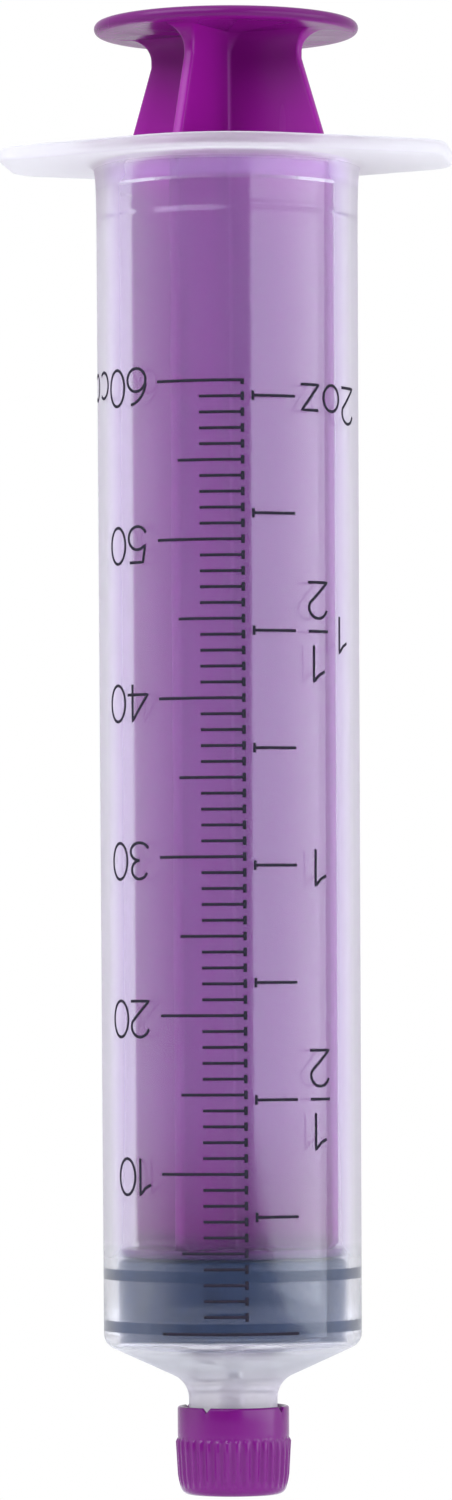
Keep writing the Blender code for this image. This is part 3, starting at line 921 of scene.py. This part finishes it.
# ---------------------------------------------------------------- stage, lights and camera
CAMERA_DISTANCE = 797 * MM
CAMERA_HEIGHT = 58.3 * MM
CAMERA_LENS_MM = 165.6
CAMERA_SENSOR_MM = 36.0
CAMERA_SHIFT = (-0.0034, 0.159333)
CAMERA_ROLL = math.radians(-0.307)
FLOOR_RADIUS = 0.30
FLOOR_GREY = (0.78, 0.78, 0.79, 1)

# How far the cap's joint takes it down, which the floor leaves room for
CAP_TRAVEL = 15 * MM

LIGHT_TINT = (0.86, 0.91, 1.0)
LIGHTS_AIM = 110 * MM

# How bright the studio is from straight behind the syringe (0) over its sides (0.5) to the camera (1)
WORLD_LEVELS = (
    (0.0, 0.82), (0.3, 0.95), (0.43, 1.5), (0.54, 1.75), (0.67, 1.3), (0.77, 0.8), (0.86, 0.3), (1.0, 0.12)
)
WORLD_TINT = (0.96, 0.97, 1.0)
WORLD_PEAK = 2.5


def make_camera():
    data = bpy.data.cameras.new("camera")
    data.sensor_width = CAMERA_SENSOR_MM
    data.lens = CAMERA_LENS_MM
    data.shift_x, data.shift_y = CAMERA_SHIFT
    camera = bpy.data.objects.new("camera", data)
    bpy.context.scene.collection.objects.link(camera)
    reach = CAMERA_DISTANCE
    camera.location = (reach * math.cos(VIEW_ANGLE), reach * math.sin(VIEW_ANGLE), CAMERA_HEIGHT)
    level = Euler((math.pi / 2, 0, VIEW_ANGLE + math.pi / 2)).to_matrix()
    camera.rotation_euler = (level @ Matrix.Rotation(CAMERA_ROLL, 3, "Z")).to_euler()
    bpy.context.scene.camera = camera


def make_floor():
    """A small pale table top, which looks as white as the backdrop. It is low enough for the cap to
    come off above it."""
    bm = bmesh.new()
    bmesh.ops.create_circle(bm, cap_ends=True, segments=96, radius=FLOOR_RADIUS)
    floor = new_object("floor", bm)
    floor.location.z = -(CAP_TRAVEL + MM)
    n = Nodes("pale_floor")
    n.set(Base_Color=FLOOR_GREY, Roughness=0.9)
    white = n.add("ShaderNodeEmission", Color=(1, 1, 1, 1), Strength=1.0)
    n.cover(n.add("ShaderNodeLightPath").outputs["Is Camera Ray"], white)
    floor.data.materials.append(n.material)


def add_panel(name, bearing, elevation, distance, width, height, power, roll=0):
    """A soft rectangular light that faces the syringe. Angles are in degrees, and the bearing is
    counted to the camera's right."""
    data = bpy.data.lights.new(name, "AREA")
    data.shape = "RECTANGLE"
    data.size = width
    data.size_y = height
    data.energy = power
    data.color = LIGHT_TINT
    light = bpy.data.objects.new(name, data)
    light.visible_camera = False
    bpy.context.scene.collection.objects.link(light)
    turn, tilt = VIEW_ANGLE + math.radians(bearing), math.radians(elevation)
    outward = Vector((math.cos(tilt) * math.cos(turn), math.cos(tilt) * math.sin(turn), math.sin(tilt)))
    light.location = outward * distance + Vector((0, 0, LIGHTS_AIM))
    facing = (-outward).to_track_quat("-Z", "Y").to_matrix()
    light.rotation_euler = (facing @ Matrix.Rotation(math.radians(roll), 3, "Z")).to_euler()


def world_color(level):
    """A level of the studio's brightness as a share of its peak, with its tint."""
    return [level / WORLD_PEAK * tint for tint in WORLD_TINT] + [1]


def studio_ramp(tree):
    """The studio's brightness by direction: bright beside and behind the syringe, dark at the camera."""
    place = tree.nodes.new("ShaderNodeTexCoord")
    toward = tree.nodes.new("ShaderNodeVectorMath")
    toward.operation = "DOT_PRODUCT"
    toward.inputs[1].default_value = (math.cos(VIEW_ANGLE), math.sin(VIEW_ANGLE), 0)
    tree.links.new(place.outputs["Generated"], toward.inputs[0])
    share = tree.nodes.new("ShaderNodeMapRange")
    share.inputs["From Min"].default_value = -1
    tree.links.new(toward.outputs["Value"], share.inputs["Value"])
    ramp = tree.nodes.new("ShaderNodeValToRGB")
    ramp.color_ramp.interpolation = "EASE"
    stops = ramp.color_ramp.elements
    for position, level in WORLD_LEVELS[1:-1]:
        stops.new(position).color = world_color(level)
    stops[0].color = world_color(WORLD_LEVELS[0][1])
    stops[-1].color = world_color(WORLD_LEVELS[-1][1])
    tree.links.new(share.outputs["Result"], ramp.inputs["Fac"])
    return ramp.outputs["Color"]


def make_world():
    """The studio's light. The camera itself sees plain white."""
    world = bpy.data.worlds.new("studio")
    world.use_nodes = True
    bpy.context.scene.world = world
    tree = world.node_tree
    background = tree.nodes["Background"]
    background.inputs["Strength"].default_value = WORLD_PEAK
    path = tree.nodes.new("ShaderNodeLightPath")
    pick = tree.nodes.new("ShaderNodeMix")
    pick.data_type = "RGBA"
    white = 1 / WORLD_PEAK
    pick.inputs[COLOR_B].default_value = (white, white, white, 1)
    tree.links.new(path.outputs["Is Camera Ray"], pick.inputs["Factor"])
    tree.links.new(studio_ramp(tree), pick.inputs[COLOR_A])
    tree.links.new(pick.outputs[COLOR_OUT], background.inputs["Color"])


def make_stage():
    make_camera()
    make_floor()
    make_world()
    add_panel("key_panel", bearing=56.5, elevation=2.6, distance=0.42, width=0.62, height=0.27,
              power=1.55, roll=-6)
    add_panel("top_panel", bearing=-42, elevation=38, distance=0.60, width=0.70, height=0.40, power=4.6)
    bpy.context.scene.view_settings.view_transform = "Standard"


make_stage()
make_barrel()
make_ml_scale()
make_oz_scale()
make_seal()
make_rod()
make_cap()

bpy.context.view_layer.update()
